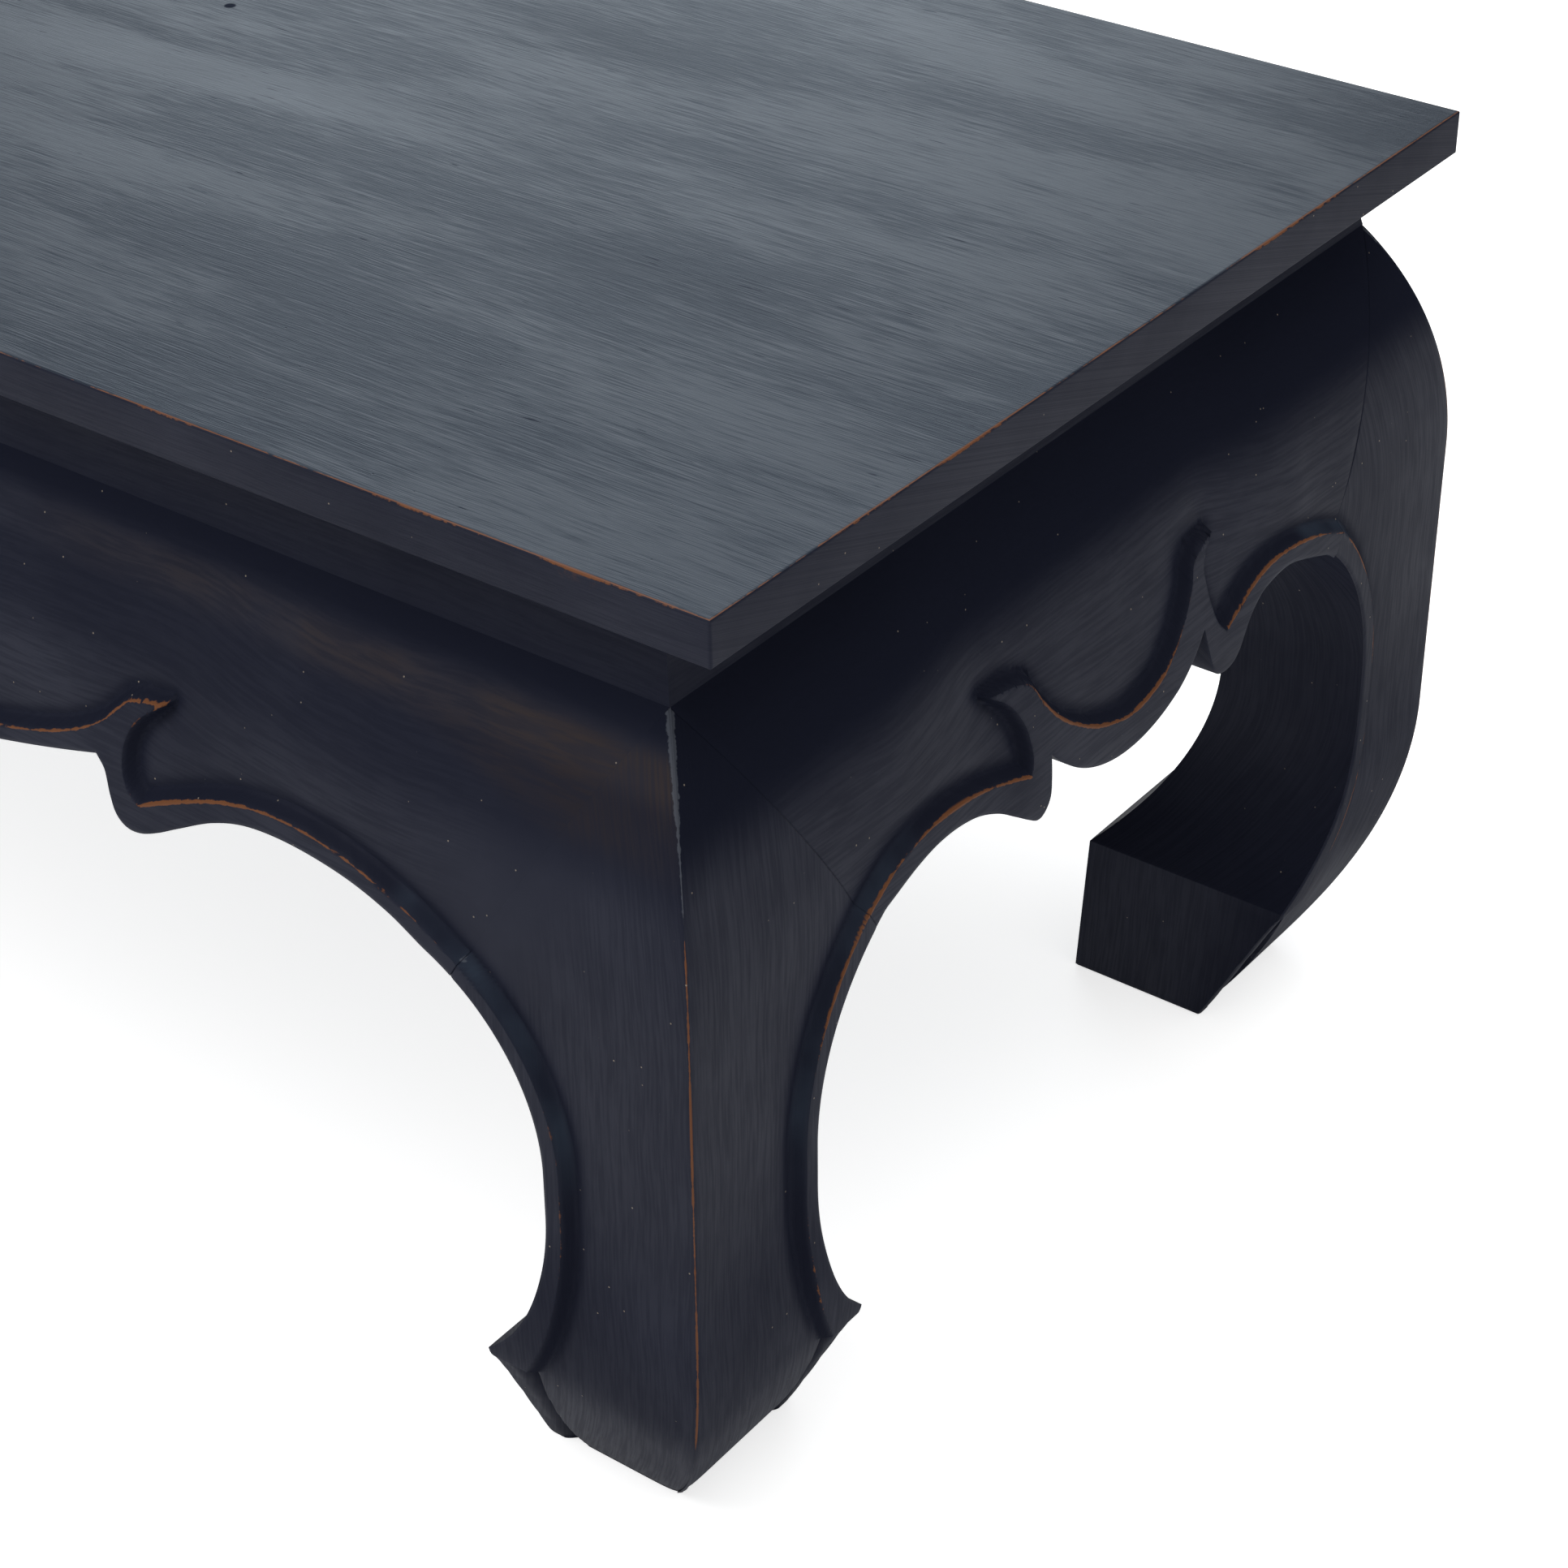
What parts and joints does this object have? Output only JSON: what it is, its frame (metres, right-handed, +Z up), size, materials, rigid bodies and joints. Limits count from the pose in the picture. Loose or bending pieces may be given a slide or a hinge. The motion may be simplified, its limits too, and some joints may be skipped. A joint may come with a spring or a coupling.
{
  "type": "opium table",
  "caption": "Low black-lacquered table with an overhanging plank top, recessed waist, bulged aprons with a cusped beaded edge and bowed legs ending in inward hoof feet",
  "frame": {"origin": "on the floor, under the middle of the top", "axes": "+X along the length of the table to its right end, +Y to the rear, +Z up"},
  "size_m": [1.01, 0.543, 0.42],
  "materials": {
    "black_lacquer": "satin black lacquer, rubbed at the edges",
    "bare_wood": "planed, unfinished"
  },
  "bodies": {
    "root": {"front_top_board": "black_lacquer", "middle_top_board": "black_lacquer", "rear_top_board": "black_lacquer", "front_waist_rail": "black_lacquer", "front_apron": "black_lacquer", "front_apron_keys": "bare_wood", "rear_waist_rail": "black_lacquer", "rear_apron": "black_lacquer", "rear_apron_keys": "bare_wood", "left_waist_rail": "black_lacquer", "left_apron": "black_lacquer", "left_apron_keys": "bare_wood", "right_waist_rail": "black_lacquer", "right_apron": "black_lacquer", "right_apron_keys": "bare_wood", "front_left_leg": "black_lacquer", "front_right_leg": "black_lacquer", "rear_left_leg": "black_lacquer", "rear_right_leg": "black_lacquer", "front_top_tongue": "bare_wood", "rear_top_tongue": "bare_wood", "left_top_batten": "bare_wood", "middle_top_batten": "bare_wood", "right_top_batten": "bare_wood"}
  },
  "joints": []
}
